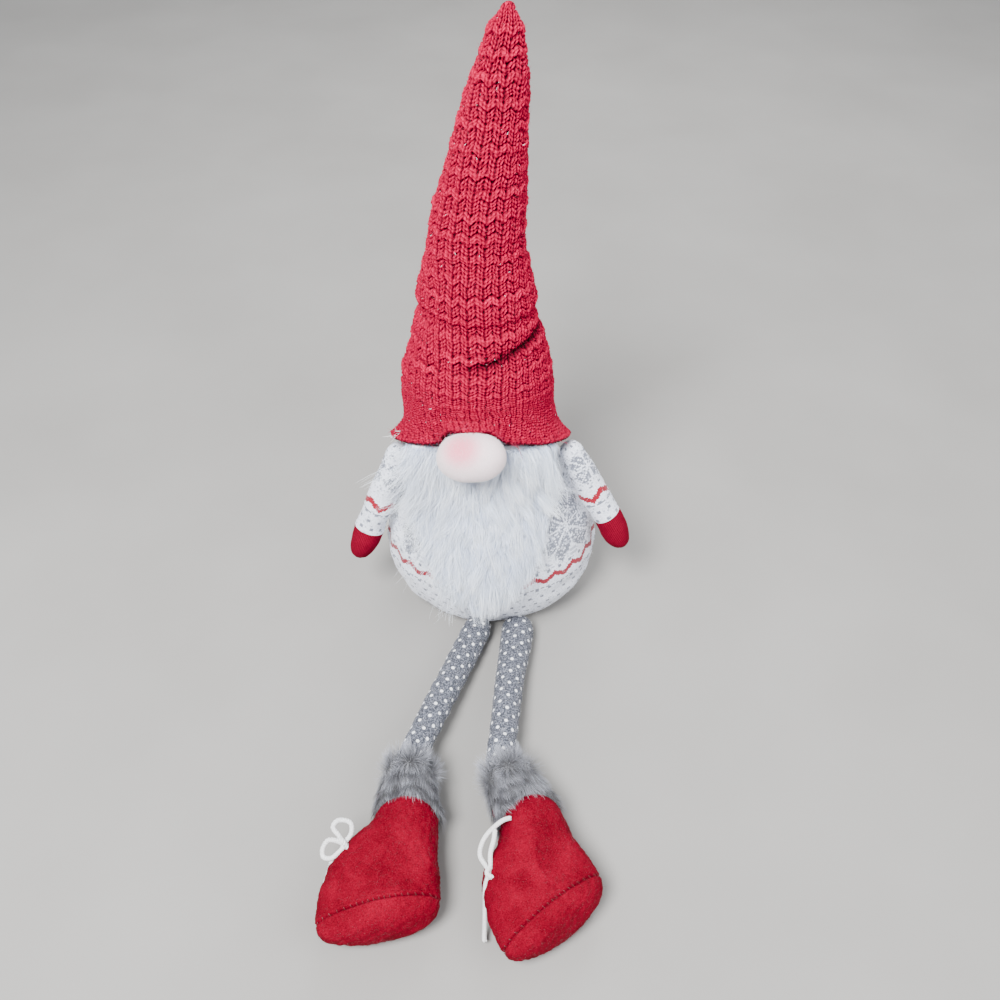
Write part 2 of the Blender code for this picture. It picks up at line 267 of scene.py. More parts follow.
def tube_object(name, grid, material, start_cap=False, end_cap=False):
    rows, columns = grid.shape[:2]
    faces = grid_faces(rows, columns)
    if start_cap:
        faces.append(list(range(columns))[::-1])
    if end_cap:
        faces.append([(rows - 1) * columns + i for i in range(columns)])
    return new_mesh(name, grid, faces, material)


def cords(name, lines, radius, material, sides):
    """One mesh of round threads, each following its own line of points."""
    points, faces = [], []
    for line in lines:
        line = np.asarray(line, float)
        tangent = unit(np.gradient(line, axis=0))
        helper = np.where(np.abs(tangent[:, 2:3]) > 0.9, X, Z)
        a = unit(np.cross(tangent, helper))
        b = np.cross(tangent, a)
        turns = 2 * math.pi * np.arange(sides) / sides
        taper = np.ones(len(line))
        taper[0] = taper[-1] = 0.35
        ring = a[:, None] * np.cos(turns)[None, :, None] + b[:, None] * np.sin(turns)[None, :, None]
        first = len(points)
        points.extend((line[:, None] + ring * (radius * taper)[:, None, None]).reshape(-1, 3))
        faces += grid_faces(len(line), sides, first)
        faces.append([first + i for i in range(sides)][::-1])
        faces.append([first + (len(line) - 1) * sides + i for i in range(sides)])
    return new_mesh(name, points, faces, material)


def ribbons(name, lines, widths, facing, material, shade):
    """One mesh of tapering ribbons. lines is strands x points x 3, and each flat side looks along facing."""
    strands, levels = lines.shape[:2]
    lines = lines.copy()
    lines[..., 2] = np.maximum(lines[..., 2], FLOOR_GAP)
    tangent = unit(np.gradient(lines, axis=1))
    side = unit(np.cross(tangent, facing[:, None]))
    t = np.linspace(0, 1, levels)
    taper = np.sqrt(np.clip(1 - t, 0, 1)) * 0.9 + 0.1
    half = side * (widths[:, None] * taper[None])[..., None] / 2
    points = np.stack([lines - half, lines + half], axis=2)
    s, k = np.meshgrid(np.arange(strands), np.arange(levels - 1), indexing="ij")
    low = (s * levels + k) * 2
    quads = np.stack([low, low + 1, low + 3, low + 2], -1).reshape(-1, 4)
    obj = new_mesh(name, points, quads.tolist(), material)
    set_values(obj, "along", np.repeat(np.tile(t, strands), 2))
    set_values(obj, "shade", np.repeat(shade, levels * 2))
    return obj


def fuzz(name, grid, count, length, width, material, seed, lift=0.7):
    """Stray fibres on a grid's surface. A small lift lays them along it, and a large one stands them up."""
    rng = np.random.default_rng(seed)
    normals = grid_normals(grid)
    girth = np.linalg.norm(np.roll(grid, 1, axis=1) - grid, axis=2).sum(axis=1)[1:-1]
    rows = 1 + rng.choice(len(girth), count, p=girth / girth.sum())
    columns = rng.integers(0, grid.shape[1], count)
    root, normal = grid[rows, columns], normals[rows, columns]
    spread = rng.normal(size=(count, 3)) * 0.55
    spread -= normal * (spread * normal).sum(axis=1, keepdims=True)
    way = unit(normal * lift * rng.uniform(0.5, 1.2, (count, 1)) + spread)
    curl = rng.normal(size=(count, 3)) * 0.4
    curl -= normal * (curl * normal).sum(axis=1, keepdims=True)
    t = np.linspace(0, 1, 4)[None, :, None]
    size = (length * rng.uniform(0.4, 1.0, count))[:, None, None]
    lines = root[:, None] + size * (way[:, None] * t + curl[:, None] * t * t)
    facing = normal + rng.normal(size=(count, 3)) * 0.6
    return ribbons(name, lines, np.full(count, width), unit(facing), material, rng.uniform(0, 1, count))


def puffed(grid, pressure, cap):
    """The grid after a short cloth simulation with air inside it. Its first and last rings stay put."""
    obj = tube_object("puffing", grid, None, start_cap=True, end_cap=True)
    held = obj.vertex_groups.new(name="held")
    rows, columns = grid.shape[:2]
    held.add(list(range(columns)) + list(range((rows - 1) * columns, rows * columns)), 1.0, "REPLACE")
    cloth = obj.modifiers.new("Cloth", "CLOTH")
    settings = cloth.settings
    settings.quality = 6
    settings.mass = 0.2
    settings.tension_stiffness = settings.compression_stiffness = 12
    settings.shear_stiffness = 6
    settings.bending_stiffness = 1.5
    settings.use_pressure = True
    settings.uniform_pressure_force = pressure
    settings.vertex_group_mass = "held"
    settings.effector_weights.gravity = 0
    cloth.point_cache.frame_end = 20
    scene = bpy.context.scene
    for step in range(1, 21):
        scene.frame_set(step)
    graph = bpy.context.evaluated_depsgraph_get()
    mesh = obj.evaluated_get(graph).to_mesh()
    moved = np.empty(len(mesh.vertices) * 3)
    mesh.vertices.foreach_get("co", moved)
    scene.frame_set(1)
    bpy.data.objects.remove(obj)
    shift = moved.reshape(grid.shape) - grid
    far = np.linalg.norm(shift, axis=2, keepdims=True)
    return grid + shift * np.minimum(1, cap / np.maximum(far, 1e-9))


def stand_in(piece, slot, *nodes):
    """Hides these CAD nodes, so that the piece is shown in their place. The piece and slot are not used."""
    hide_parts(*nodes)


# --- materials ---


class Look:
    """A node material, with short ways to add the nodes that these cloths share."""

    def __init__(self, name, roughness=0.85, sheen=0.0, gloss=0.25):
        self.material = bpy.data.materials.new(name)
        self.material.use_nodes = True
        self.tree = self.material.node_tree
        self.shader = self.tree.nodes["Principled BSDF"]
        self.shader.inputs["Roughness"].default_value = roughness
        self.shader.inputs["Sheen Weight"].default_value = sheen
        self.shader.inputs["Sheen Roughness"].default_value = 0.5
        self.shader.inputs["Specular IOR Level"].default_value = gloss
        self.place = self.node("ShaderNodeTexCoord").outputs["Object"]

    def node(self, kind):
        return self.tree.nodes.new(kind)

    def link(self, out, into):
        self.tree.links.new(out, into)

    def attribute(self, name):
        node = self.node("ShaderNodeAttribute")
        node.attribute_name = name
        return node.outputs["Fac"]

    def noise(self, scale, detail):
        node = self.node("ShaderNodeTexNoise")
        node.inputs["Scale"].default_value = scale
        node.inputs["Detail"].default_value = detail
        self.link(self.place, node.inputs["Vector"])
        return node.outputs["Fac"]

    def ramp(self, value, *stops, constant=False):
        node = self.node("ShaderNodeValToRGB")
        node.color_ramp.interpolation = "CONSTANT" if constant else "LINEAR"
        elements = node.color_ramp.elements
        for i, (place, colour) in enumerate(stops):
            stop = elements[i] if i < 2 else elements.new(place)
            stop.position = place
            stop.color = (*colour, 1)
        self.link(value, node.inputs["Fac"])
        return node.outputs["Color"]

    def mix(self, how, amount, first, second):
        node = self.node("ShaderNodeMix")
        node.data_type = "RGBA"
        node.blend_type = how
        if isinstance(amount, float):
            node.inputs["Factor"].default_value = amount
        else:
            self.link(amount, node.inputs["Factor"])
        for value, socket in ((first, node.inputs[6]), (second, node.inputs[7])):
            if isinstance(value, tuple):
                socket.default_value = (*value, 1)
            else:
                self.link(value, socket)
        return node.outputs[2]

    def colour(self, out):
        self.link(out, self.shader.inputs["Base Color"])
        return self

    def bump(self, height, strength, distance):
        node = self.node("ShaderNodeBump")
        node.inputs["Strength"].default_value = strength
        node.inputs["Distance"].default_value = distance
        self.link(height, node.inputs["Height"])
        self.link(node.outputs["Normal"], self.shader.inputs["Normal"])
        return self


def hat_wool():
    look = Look("hat_wool", 0.8, gloss=0.06)
    # Painted light and shade: the 'height' attribute makes raised knit lighter and its troughs darker.
    crest_light_trough_shade = look.ramp(
        look.attribute("height"),
        (0.0, (0.012, 0.0, 0.001)),
        (0.35, (0.13, 0.0, 0.010)),
        (0.7, (0.40, 0.0, 0.030)),
        (1.0, (0.70, 0.002, 0.062)),
    )
    flecks = look.ramp(look.noise(1300, 2), (0.35, (0.66, 0.6, 0.62)), (0.7, (1.35, 2.2, 1.8)))
    look.colour(look.mix("MULTIPLY", 1.0, crest_light_trough_shade, flecks))
    return look.bump(look.noise(2200, 2), 0.6, 0.3 * MM).material


def jacquard():
    look = Look("jacquard", 0.85, 0.2)
    yarn = look.ramp(
        look.attribute("yarn"),
        (0.0, (0.80, 0.83, 0.92)),
        (PALE_GREY - 0.1, (0.45, 0.48, 0.56)),
        (GREY - 0.1, (0.20, 0.215, 0.265)),
        (RED - 0.1, (0.30, 0.0, 0.018)),
        constant=True,
    )
    melange = look.ramp(look.noise(800, 3), (0.32, (0.74, 0.75, 0.78)), (0.6, (1.06, 1.06, 1.06)))
    look.colour(look.mix("MULTIPLY", 1.0, yarn, melange))
    return look.bump(look.noise(2600, 2), 0.4, 0.15 * MM).material


def red_knit():
    look = Look("mitten_knit", 0.88, gloss=0.08)
    # Painted light and shade: the knit lighter on its raised legs and darker between them, from 'height'.
    shade = look.ramp(look.attribute("height"), (0.0, (0.07, 0.0, 0.005)), (1.0, (0.27, 0.0, 0.022)))
    melange = look.ramp(look.noise(1200, 3), (0.3, (0.72, 0.65, 0.65)), (0.7, (1.25, 1.6, 1.4)))
    look.colour(look.mix("MULTIPLY", 1.0, shade, melange))
    return look.bump(look.noise(2600, 2), 0.4, 0.15 * MM).material


def leg_jersey():
    look = Look("leg_jersey", 0.9, 0.1)
    melange = look.ramp(
        look.noise(900, 2),
        (0.40, (0.038, 0.041, 0.054)),
        (0.50, (0.080, 0.086, 0.109)),
        (0.60, (0.18, 0.19, 0.23)),
    )
    dot = look.ramp(look.attribute("dot"), (0.42, (0, 0, 0)), (0.58, (1, 1, 1)))
    look.colour(look.mix("MIX", dot, melange, (0.84, 0.85, 0.88)))
    return look.bump(look.noise(2600, 2), 0.4, 0.15 * MM).material


def red_felt():
    look = Look("red_felt", 0.9, gloss=0.05)
    large = look.ramp(look.noise(60, 4), (0.3, (0.115, 0.0, 0.006)), (0.7, (0.20, 0.0, 0.012)))
    fibres = look.ramp(look.noise(1400, 5), (0.3, (0.58, 0.5, 0.5)), (0.72, (1.4, 1.8, 1.7)))
    look.colour(look.mix("MULTIPLY", 1.0, large, fibres))
    return look.bump(look.noise(1100, 5), 0.8, 0.6 * MM).material


def nose_jersey():
    """Pale jersey with a pink blush on the nose's upper right."""
    look = Look("nose_jersey", 0.8, 0.4)
    low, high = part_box("nose_cover")
    blush_at = [low[k] + (high[k] - low[k]) * BLUSH_SHARE[k] + NOSE_TUCK[k] for k in range(3)]
    away = look.node("ShaderNodeVectorMath")
    away.operation = "DISTANCE"
    away.inputs[1].default_value = blush_at
    look.link(look.place, away.inputs[0])
    blush = look.ramp(
        away.outputs["Value"],
        (0.0, (0.88, 0.21, 0.30)),
        (0.008, (0.89, 0.34, 0.42)),
        (0.017, (0.92, 0.76, 0.79)),
        (0.032, (0.88, 0.70, 0.73)),
    )
    flecks = look.ramp(look.noise(1300, 4), (0.3, (0.93, 0.92, 0.92)), (0.7, (1.05, 1.05, 1.05)))
    look.colour(look.mix("MULTIPLY", 1.0, blush, flecks))
    return look.bump(look.noise(1500, 4), 0.35, 0.2 * MM).material


def fur(name, colours, shades):
    """Colours from root to tip, times a shade from the darkest strand to the lightest."""
    look = Look(name, 0.7, 0.3)
    along = look.ramp(look.attribute("along"), *zip((0.0, 0.5, 1.0), colours))
    strand = look.ramp(look.attribute("shade"), *zip((0.0, 1.0), shades))
    return look.colour(look.mix("MULTIPLY", 1.0, along, strand)).material


def make_furs():
    """White fibres, red fibres, felt fibres, the beard's strands and the cuffs' strands, in that order."""
    return (
        fur(
            "white_fibre",
            ((0.8, 0.8, 0.82), (0.85, 0.85, 0.86), (0.9, 0.9, 0.9)),
            ((0.8, 0.8, 0.8), (1, 1, 1)),
        ),
        fur(
            "red_fibre",
            ((0.2, 0.0, 0.02), (0.3, 0.0, 0.03), (0.46, 0.02, 0.09)),
            ((0.8, 0.8, 0.8), (1.1, 1.2, 1.2)),
        ),
        fur(
            "felt_fibre",
            ((0.12, 0, 0.007), (0.17, 0, 0.012), (0.21, 0.002, 0.02)),
            ((0.6, 0.6, 0.6), (1.1, 1.2, 1.2)),
        ),
        # The darker blue-grey end of the strand shade is painted shade, as between the beard's locks.
        fur(
            "beard_fur",
            ((0.76, 0.83, 0.97), (0.92, 0.96, 1.0), (0.97, 0.99, 1.0)),
            ((0.68, 0.73, 0.84), (1.06, 1.06, 1.06)),
        ),
        fur(
            "cuff_fur",
            ((0.045, 0.045, 0.05), (0.19, 0.195, 0.22), (0.46, 0.48, 0.55)),
            ((0.13, 0.12, 0.125), (1.05, 1.05, 1.05)),
        ),
    )


def plain_cloth(name, dark, light, scale=900):
    look = Look(name, 0.9, 0.2)
    look.colour(look.ramp(look.noise(scale, 4), (0.3, dark), (0.7, light)))
    return look.bump(look.noise(scale * 2, 3), 0.5, 0.2 * MM).material


# --- hat ---


def hat_spine(stations):
    """Centres and axes of rings from the tilted brim up to the tip."""
    low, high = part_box("hat_lower_cover")
    pivot = joint_point("hat_bend")
    tip = np.array(max((v.co for v in frame["nodes"]["hat_upper_cover"].data.vertices), key=lambda p: p.z))
    brim_height = low.z + BRIM_HALF_DEPTH * math.sin(BRIM_TILT) + 1.5 * MM
    brim = np.array([(low.x + high.x) / 2, BRIM_PLACE_Y, brim_height])
    lean = math.atan2(tip[1] - pivot[1], tip[2] - pivot[2])
    centres, along = [], []
    for t in np.linspace(0, 1, stations):
        share = t / CREASE_SHARE
        if share < 1:
            centre = brim + (pivot - brim) * share
            tilt = BRIM_TILT + (lean - BRIM_TILT) * smooth_step(share * 1.1)
        else:
            share = (t - CREASE_SHARE) / (1 - CREASE_SHARE)
            centre = pivot + (tip - pivot) * share * 0.994
            centre[0] = pivot[0] + (tip[0] - pivot[0]) * max(0.0, (share - 0.35) / 0.65)
            tilt = lean
        centres.append(centre)
        along.append(np.array([0, math.cos(tilt), -math.sin(tilt)]))
    return centres, [X] * stations, along


def hat_ends(coarse):
    """Adds a lip below the brim, longest at the sides, and rounds off the tip."""
    turn = 2 * math.pi * np.arange(coarse.shape[1]) / coarse.shape[1]
    reach = (1.5 + 3.5 * np.sin(turn) ** 2 + 1.0 * (1 - np.cos(turn)) / 2) * MM
    outward = unit(coarse[0] - coarse[0].mean(axis=0))
    lip = coarse[0] + (unit(coarse[0] - coarse[2]) + outward * 0.5) * reach[:, None]
    tip = coarse[-1].mean(axis=0)
    rise = unit(tip - coarse[-3].mean(axis=0))
    dome = ((0.85, 1.0), (0.5, 2.0), (0.12, 2.4))
    ends = [tip + (coarse[-1] - tip) * share + rise * height * MM for share, height in dome]
    return np.concatenate([lip[None], coarse, ends])


def brim_fitted(grid):
    """The hat's grid with its brim drawn in at the sides and its front edge resting on the nose."""
    grid = grid.copy()
    v = lengths_on(grid)[1]
    offset = grid - grid.mean(axis=1, keepdims=True)
    aside = offset[..., 0] / np.abs(offset[..., 0]).max(axis=1, keepdims=True)
    ahead = np.clip(-offset[..., 1] / np.abs(offset[..., 1]).max(axis=1, keepdims=True), 0, 1)
    fade = np.where(aside > 0, 52 * MM, 26 * MM)
    grid[..., 0] -= BRIM_DRAWN_IN * aside * np.abs(aside) * (1 - smooth_step((v - 10 * MM) / fade))
    nose_low, nose_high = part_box("nose_cover")
    from_nose = grid[..., 0] - (nose_low.x + nose_high.x) / 2
    arch = smooth_step((from_nose + 26 * MM) / (13 * MM))
    arch = arch * (1 - smooth_step((from_nose - 8 * MM) / (18 * MM)))
    arch = arch * smooth_step(ahead * 1.6) * (1 - smooth_step(v / (30 * MM)))
    ripple = 1.0 * MM * np.sin(grid[..., 0] / (7.5 * MM)) * ahead
    front_rise = (2.6 * MM * ahead**2 + ripple) * (1 - smooth_step(v / (20 * MM)))
    grid[..., 2] += front_rise + HEM_OVER_NOSE * arch
    grid[..., 1] -= 4.5 * MM * arch
    return grid


def turned_to_front(grid):
    """Column 0 at the front, so that column counts and seams are measured from there."""
    return np.roll(grid, grid.shape[1] // 4, axis=1)


def stitches(round_way, along, size):
    """0 to 1: the two slanting legs of each knitted stitch, each a bead of yarn."""
    a = np.abs((round_way / size[0]) % 1 - 0.5)
    b = (along / size[1]) % 1
    leg = (a - 0.12 - 0.20 * b) / 0.22
    return np.sqrt(np.clip(1 - leg * leg, 0, 1)) * (0.35 + 0.65 * np.sqrt(np.sin(math.pi * b)))


def waffle(grid):
    """How high the hat's knit stands: its stitches (0 to 1), and the arched ridges across them (-1 to 1)."""
    u, v = lengths_on(grid)
    u = u + 0.8 * MM * wobble(grid, 30 * MM, 3)
    v = v + 0.9 * MM * wobble(grid, 38 * MM, 4)
    near_hem = 1 - smooth_step((v - 34 * MM) / (24 * MM))
    arch = np.abs(np.cos(math.pi * u / WAFFLE_CELL[0]))
    wave = WAFFLE_WAVE * (2 * arch - 1) * (1 - 0.8 * near_hem)
    place = ((v - wave) / WAFFLE_CELL[1]) % 1
    patchy = np.clip(0.8 + 0.4 * wobble(grid, 22 * MM, 6), 0.25, 1.3) * (1 - near_hem)
    band = smooth_step((0.22 - np.abs(place - 0.5)) / 0.08) * patchy
    grooves = (bump_at(place, 0.25, 0.045) + bump_at(place, 0.75, 0.045)) * patchy
    jitter = 0.45 * MM * wobble(grid, 6 * MM, 5)
    bead = stitches(u + jitter, v - wave + jitter, HAT_STITCH) * (1 - near_hem)
    bead = bead * (1 - 0.35 * np.clip(band, 0, 1))
    bead = bead + stitches(u + 2 * jitter, v + 1.6 * jitter, HEM_STITCH) * near_hem * 0.95
    bead = bead * (1 - 0.35 * bump_at(arch, 0, 0.25) * (1 - near_hem)) + 0.10 * wobble(grid, 2.6 * MM, 8)
    return bead, band - grooves


def crease_on(grid):
    """How deep in the hat's fold each point is (0 to 1), and how far the knit stands out there, in metres."""
    pivot = joint_point("hat_bend")
    height = pivot[2] + 5 * MM + 0.22 * (grid[..., 0] - pivot[0])
    left_front = smooth_step((grid[..., 0] - pivot[0] + 16 * MM) / (30 * MM))
    left_front = left_front * (grid[..., 1] < pivot[1] + 20 * MM)
    crease = bump_at(grid[..., 2], height, 2.8 * MM) * left_front
    roll = bump_at(grid[..., 2], height + 10 * MM, 6 * MM) * left_front
    below = bump_at(grid[..., 2], height - 14 * MM, 8 * MM)
    return crease, 1.0 * MM * roll + 0.6 * MM * below - 2.8 * MM * crease


def make_hem_threads(fine, white_fibre, wool_fibre):
    """Loose ends of yarn at the brim: white ones at the gnome's right corner, and red ones all round."""
    rng = np.random.default_rng(13)
    columns = fine.shape[1]
    for name, count, middle, spread, out, material in (
        ("hem_white_threads", 26, 0.79, 0.022, 1.5, white_fibre),
        ("hem_red_threads", 260, 0.0, 0.5, 0.35, wool_fibre),
    ):
        turns = (middle + rng.uniform(-spread, spread, count)) % 1
        root = fine[rng.integers(1, 12, count), (turns * columns).astype(int)]
        outward = unit(root - fine[1].mean(axis=0))
        way = outward * out - Z * 0.9 + rng.normal(size=(count, 3)) * 0.4
        curl = rng.normal(size=(count, 3)) * 0.6 - outward * out * 0.6
        t = np.linspace(0, 1, 7)[None, :, None]
        size = rng.uniform(2.5, 6, count)[:, None, None] * MM
        lines = root[:, None] + size * (way[:, None] * t + curl[:, None] * t * t)
        shade = rng.uniform(0, 1, count)
        threads = ribbons(name, lines, np.full(count, 0.35 * MM), unit(outward + 0.01), material, shade)
        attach(threads, "torso")


def make_hat(wool, wool_fibre, white_fibre):
    coarse = wrapped(surface_of("hat_lower_cover", "hat_upper_cover"), *hat_spine(34))
    coarse = hat_ends(puffed(turned_to_front(coarse), 1.2, 3 * MM))
    grid = brim_fitted(refined(coarse, 600, 560))
    normals = grid_normals(grid)
    u, v = lengths_on(grid)
    crease, fold = crease_on(grid)
    bead, ridge = waffle(grid)
    seam = bump_at(np.abs(u), np.abs(u).max(axis=1, keepdims=True), 1.6 * MM)
    lift = STITCH_RELIEF * (bead - 0.5) + RIDGE_RELIEF * ridge + fold
    lift = lift + 0.9 * MM * wobble(grid, 55 * MM, 5) + 0.6 * MM * seam
    lift = lift * smooth_step((v.max() - v) / (8 * MM))
    fine = grid + normals * lift[..., None]
    lining = fine[:LINING_ROWS] - normals[:LINING_ROWS] * 2.6 * MM
    # Colour height, painted light and shade: raised stitches and ridges lighter, grooves and the fold's crease
    # darker.
    height = np.clip(0.66 * bead + 0.24 * ridge + 0.16 - 0.5 * crease, 0, 1)
    hat = tube_object("hat_knit", np.concatenate([lining[::-1], fine]), wool, end_cap=True)
    # The lining, inside the brim, gets painted shade at 0.4 of its height.
    set_values(hat, "height", np.concatenate([height[:LINING_ROWS][::-1] * 0.4, height]))
    hair = fuzz("hat_fuzz", fine, 8000, 2.6 * MM, 0.14 * MM, wool_fibre, 11)
    flecks = fuzz("hat_flecks", fine, 200, 1.7 * MM, 0.24 * MM, white_fibre, 12, lift=0.3)
    nodes = [f"hat_{part}_{layer}" for part in ("lower", "upper") for layer in ("cover", "filling")]
    stand_in(hat, "hat_knit", *nodes)
    for piece in (hat, hair, flecks):
        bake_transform(piece)
    make_hem_threads(fine, white_fibre, wool_fibre)


# --- jacquard ---


def star(across, up, size):
    """Whether each stitch is in an eight-petalled star of the kind knitted into northern jumpers."""
    high = np.maximum(np.abs(across), np.abs(up))
    low = np.minimum(np.abs(across), np.abs(up))
    slim = high - low
    return (low >= 1) & (slim >= 1) & (slim <= 0.62 * size) & (high + low <= 1.42 * size)


def zigzag(column, row, middle):
    """A stepped line four stitches thick, which climbs four stitches in six and falls again."""
    height, half_period = 4, 6
    step = np.abs((column % (2 * half_period)) - half_period)
    above = row - middle - np.floor(step * height / half_period)
    return (above >= 0) & (above < 4)


def dots(column, row, pitch):
    """Small squares two stitches wide, every other row of them shifted by half a pitch."""
    shift = ((row // pitch) % 2) * (pitch // 2)
    return (((column + shift) % pitch) < 2) & ((row % pitch) < 2)


def scattered(column, row, share):
    """A fixed random share of the stitches."""
    return (column * 7919 + row * 104729 + column * row * 31) % 100 < share * 100


def dotted_ground(column, row, pitch):
    yarn = np.full(column.shape, WHITE)
    yarn[dots(column, row, pitch)] = GREY
    yarn[scattered(column, row, 0.05)] = PALE_GREY
    return yarn


def knit_stars(yarn, column, row, across, up, size, flecks):
    """Grey stars on a clear band, flecked by shares of pale ground stitches, pale and white star ones."""
    near = np.abs(up) <= size + 1
    inside = near & star(across, up, size)
    yarn[near] = WHITE
    yarn[near & scattered(column, row, flecks[0])] = PALE_GREY
    yarn[inside] = GREY
    yarn[inside & scattered(column, row, flecks[1])] = PALE_GREY
    yarn[inside & scattered(row, column + 3, flecks[2])] = WHITE
    return near


def knit_zigzag(yarn, column, row, place, clear, dashes):
    """A red zigzag on a clear band, with a dashed grey line this many rows from it."""
    yarn[np.abs(row - place - 2) < clear] = WHITE
    yarn[zigzag(column, row, place)] = RED
    yarn[(row == place + dashes) & (column % 3 > 0)] = GREY


def body_chart(column, row, columns, rows):
    """Which yarn each stitch is knitted in. Row 0 is at the floor."""
    yarn = dotted_ground(column, row, 7)
    period = columns // 7
    across = ((column - 6 + period // 2) % period - period // 2) * 1.12
    up = row - int(rows * 0.515)
    size = 22
    near = knit_stars(yarn, column, row, across, up, size, (0.14, 0.34, 0.16))
    corner = np.abs(across) + np.abs(up) > 1.6 * size
    yarn[near & corner & ((column + row) % 5 < 2) & (row % 4 < 2)] = PALE_GREY
    yarn[near & (np.abs(across) < 3) & (np.abs(up) > 0.75 * size) & (row % 3 < 2)] = PALE_GREY
    for share in (0.325, 0.82):
        knit_zigzag(yarn, column, row, int(rows * share), 5, -4)
    return yarn


def sleeve_chart(column, row, columns, rows):
    """Row 0 is at the shoulder."""
    yarn = dotted_ground(column, row, 6)
    across = (column + 6) % 22 - 11
    knit_stars(yarn, column, row, across, row - int(rows * 0.30), 11, (0.16, 0.30, 0.22))
    knit_zigzag(yarn, column, row, int(rows * 0.60), 6, 9)
    return yarn


def knitted(name, coarse, size, material, chart=None, relief=0.28 * MM):
    """A fine knit tube: two faces across and two up each stitch, raised along the stitch's legs."""
    u, v = lengths_on(coarse)
    columns = int(round(2 * np.abs(u).max() / size[0]))
    rows = int(round(v.max() / size[1]))
    grid = refined(coarse, rows * 2 + 1, columns * 2)
    normals = grid_normals(grid)
    r, c = np.meshgrid(np.arange(rows * 2 + 1), np.arange(columns * 2), indexing="ij")
    legs = np.where(c % 2 == 0, 1.0, 0.15) * np.where(r % 2 == 0, 0.7, 1.0)
    fine = grid + normals * (relief * legs + 0.5 * MM * wobble(grid, 28 * MM, 9))[..., None]
    piece = tube_object(name, fine, material, start_cap=True, end_cap=True)
    if chart:
        face_row, face_column = np.meshgrid(np.arange(rows * 2), np.arange(columns * 2), indexing="ij")
        yarn = chart(face_column // 2, face_row // 2, columns, rows).ravel().tolist()
        yarn += [WHITE] * (len(piece.data.polygons) - len(yarn))
        set_values(piece, "yarn", yarn, "FACE")
    else:
        # Without a chart the legs' relief is stored as 'height', which the mitten's material turns into
        # painted shade between them.
        set_values(piece, "height", legs)
    return piece, fine


# --- body ---


def make_body(knit, panel_cloth, thread, fibre):
    low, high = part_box("body_cover")
    middle = (low.y + high.y) / 2
    stations = 30
    heights = low.z + (high.z - low.z) * (0.004 + 0.99 * smooth_step(np.linspace(0.0, 1.0, stations)) ** 0.9)
    centres = [np.array([0, middle, z]) for z in heights]
    coarse = wrapped(surface_of("body_cover"), centres, [X] * stations, [Y] * stations)
    coarse = puffed(turned_to_front(coarse), 2.0, 3 * MM)
    coarse[..., 2] = np.maximum(coarse[..., 2], 1.2 * MM)
    body, fine = knitted("body_knit", coarse, BODY_STITCH, knit, body_chart)
    stand_in(body, "body_knit", "body_cover", "body_filling", "weight_bag")
    hair = fuzz("body_fuzz", fine, 2500, 2.0 * MM, 0.12 * MM, fibre, 21)
    for piece in (body, hair):
        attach(piece, "torso")
    make_base(panel_cloth, thread)


def make_base(cloth, thread):
    """The sewn panel under the seat: a slightly padded disc with a stitched edge."""
    low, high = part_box("base_panel")
    centre = np.array([(low.x + high.x) / 2, (low.y + high.y) / 2, 0])
    half = np.array([(high.x - low.x) / 2, (high.y - low.y) / 2, 0])
    sides = 96
    turns = 2 * math.pi * np.arange(sides) / sides
    rim = np.stack([np.cos(turns), np.sin(turns), turns * 0], -1) * half
    bottom = ((0.02, 0.10), (0.5, 0.12), (0.9, 0.15), (0.985, 0.5))
    top = ((1.0, 1.2), (0.96, 1.9), (0.4, 2.2), (0.02, 2.2))
    rings = [centre + rim * share + Z * height * MM for share, height in bottom + top]
    panel = tube_object("base_panel_cloth", np.array(rings), cloth, start_cap=True, end_cap=True)
    stand_in(panel, "body_knit", "base_panel")
    marks = []
    for k in range(0, sides, 2):
        start = centre + rim[k] * 0.985 + Z * 0.8 * MM
        end = centre + rim[(k + 1) % sides] * 1.015 + Z * 2.0 * MM
        marks.append(np.linspace(start, end, 3))
    seam = cords("base_stitches", marks, 0.35 * MM, thread, 5)
    for piece in (panel, seam):
        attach(piece, "torso")


# --- nose and beard ---


def make_nose(cloth, fibre):
    """A ball, a little square in outline, tucked under the brim."""
    low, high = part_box("nose_cover")
    middle = (np.array(low) + np.array(high)) / 2 + np.array(NOSE_TUCK)
    half = (np.array(high) - np.array(low)) / 2
    turns = 2 * math.pi * np.arange(48) / 48
    across, up = (np.sign(part) * np.abs(part) ** 0.92 for part in (np.cos(turns), np.sin(turns)))
    ring = np.stack([across, turns * 0, up], -1)
    angles = np.radians(np.linspace(-88, 84, 30))
    rows = [middle + half * (ring * math.cos(a) + Y * math.sin(a)) for a in angles]
    grid = refined(puffed(np.array(rows), 1.0, 1.0 * MM), 90, 120)
    fine = grid + grid_normals(grid) * (0.18 * MM * wobble(grid, 18 * MM, 31))[..., None]
    nose = tube_object("nose_jersey", fine, cloth, start_cap=True, end_cap=True)
    stand_in(nose, "nose_jersey", "nose_cover", "nose_filling")
    hair = fuzz("nose_fuzz", fine, 4500, 1.2 * MM, 0.09 * MM, fibre, 32)
    for piece in (nose, hair):
        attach(piece, "torso")


def roots_on(tree, low, high, rng, count):
    """Random points where rays from the front meet the tree."""
    found = []
    while len(found) < count:
        x, z = rng.uniform(low.x, high.x), rng.uniform(low.z, high.z)
        hit = tree.ray_cast(Vector((x, -0.4, z)), Vector((0, 1, 0)))[0]
        if hit is not None:
            found.append(tuple(hit))
    return np.array(found)


def kept_in_front(points, tree, gap):
    """Moves points that are behind the tree's front to just in front of it."""
    flat = points.reshape(-1, 3)
    for i, p in enumerate(flat):
        hit = tree.ray_cast(Vector((p[0], -0.4, p[2])), Vector((0, 1, 0)))[0]
        if hit is not None and p[1] > hit.y - gap:
            flat[i, 1] = hit.y - gap
    return flat.reshape(points.shape)


